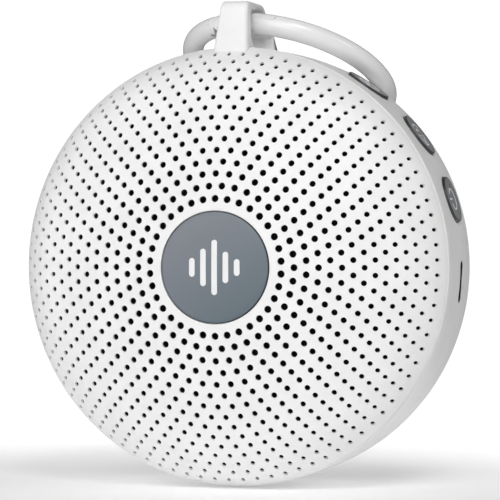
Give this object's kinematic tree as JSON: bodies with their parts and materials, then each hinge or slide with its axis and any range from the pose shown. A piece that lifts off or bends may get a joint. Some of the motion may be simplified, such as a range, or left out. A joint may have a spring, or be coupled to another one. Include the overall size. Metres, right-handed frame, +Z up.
{
  "type": "white noise sound machine",
  "caption": "Round portable white noise sound machine with a perforated dome, three side buttons, a charging socket and an opening ring in a loop on top.",
  "frame": {"origin": "centre of the flat back face", "axes": "+Y out of the back along the body's axis, the dome faces -Y, +Z up towards the hanging loop as it stands on its rim, +X towards the side with the buttons"},
  "size_m": [0.0866, 0.0585, 0.0956],
  "materials": {
    "white_shell": "satin",
    "white_ring": "gloss",
    "slate_disc": "satin",
    "pale_inlay": "satin",
    "black_cloth": "matt weave",
    "grey_buttons": "satin",
    "foam": "matt",
    "rubber_edge": "satin",
    "pressed_steel": "satin",
    "paper": "matt",
    "copper": "enamelled wire",
    "resin_cloth": "matt weave",
    "plated_steel": "satin",
    "brown_board": "matt",
    "steel_screws": "satin",
    "green_board": "satin",
    "black_plastic": "satin",
    "stainless": "satin",
    "silver_foil": "satin",
    "ivory_plastic": "gloss",
    "red_wire": "satin"
  },
  "bodies": {
    "machine": {"front_grille": "white_shell", "badge": "slate_disc", "badge_bars": "pale_inlay", "grille_cloth": "black_cloth", "front_case": "white_shell", "rear_case": "white_shell", "speaker_gasket": "foam", "speaker_surround": "rubber_edge", "speaker_frame": "pressed_steel", "speaker_spider": "resin_cloth", "magnet_cup": "plated_steel", "speaker_magnet": "plated_steel", "pole_plate": "plated_steel", "speaker_terminals": "brown_board", "speaker_screws": "steel_screws", "main_board": "green_board", "board_screws": "steel_screws", "board_chips": "black_plastic", "board_coil": "black_plastic", "charging_socket": "stainless", "socket_tongue": "black_plastic", "button_switches": "black_plastic", "battery_cell": "silver_foil", "battery_pads": "foam", "battery_plug": "ivory_plastic", "battery_leads": "red_wire", "speaker_plug": "ivory_plastic", "speaker_leads": "red_wire", "case_screws": "steel_screws", "hanging_loop": "white_shell"},
    "cone": {"speaker_cone": "paper", "speaker_dust_cap": "paper", "voice_coil": "copper"},
    "button_upper": {"button_upper": "grey_buttons", "plunger_upper": "black_plastic"},
    "button_middle": {"button_middle": "grey_buttons", "plunger_middle": "black_plastic"},
    "button_lower": {"button_lower": "grey_buttons", "plunger_lower": "black_plastic"},
    "link": {"ring_link": "white_ring", "ring_pin": "steel_screws"},
    "hoop": {"ring_hoop": "white_ring"}
  },
  "joints": [
    {"name": "button_upper_press", "type": "slide", "parent": "machine", "child": "button_upper", "axis": [-0.5664, 0, -0.8241], "range_m": [0, 0.0005], "stiffness_N_per_m": 800, "springref_m": -0.001},
    {"name": "button_middle_press", "type": "slide", "parent": "machine", "child": "button_middle", "axis": [-0.8028, 0, -0.5962], "range_m": [0, 0.0005], "stiffness_N_per_m": 800, "springref_m": -0.001},
    {"name": "button_lower_press", "type": "slide", "parent": "machine", "child": "button_lower", "axis": [-0.9527, 0, -0.304], "range_m": [0, 0.0005], "stiffness_N_per_m": 800, "springref_m": -0.001},
    {"name": "ring_swing", "type": "hinge", "parent": "machine", "child": "link", "pos_m": [0, -0.01765, 0.0483], "axis": [0.9679, -0.2485, -0.0384], "range_deg": [0, 215]},
    {"name": "ring_open", "type": "hinge", "parent": "link", "child": "hoop", "pos_m": [-0.00651, -0.01483, 0.04803], "axis": [-0.1417, -0.413, -0.8997], "range_deg": [0, 8]},
    {"name": "speaker_travel", "type": "slide", "parent": "machine", "child": "cone", "axis": [0, -1, 0], "range_m": [-0.0008, 0.0008], "stiffness_N_per_m": 1200, "deforming": ["speaker_surround", "speaker_spider"]}
  ]
}
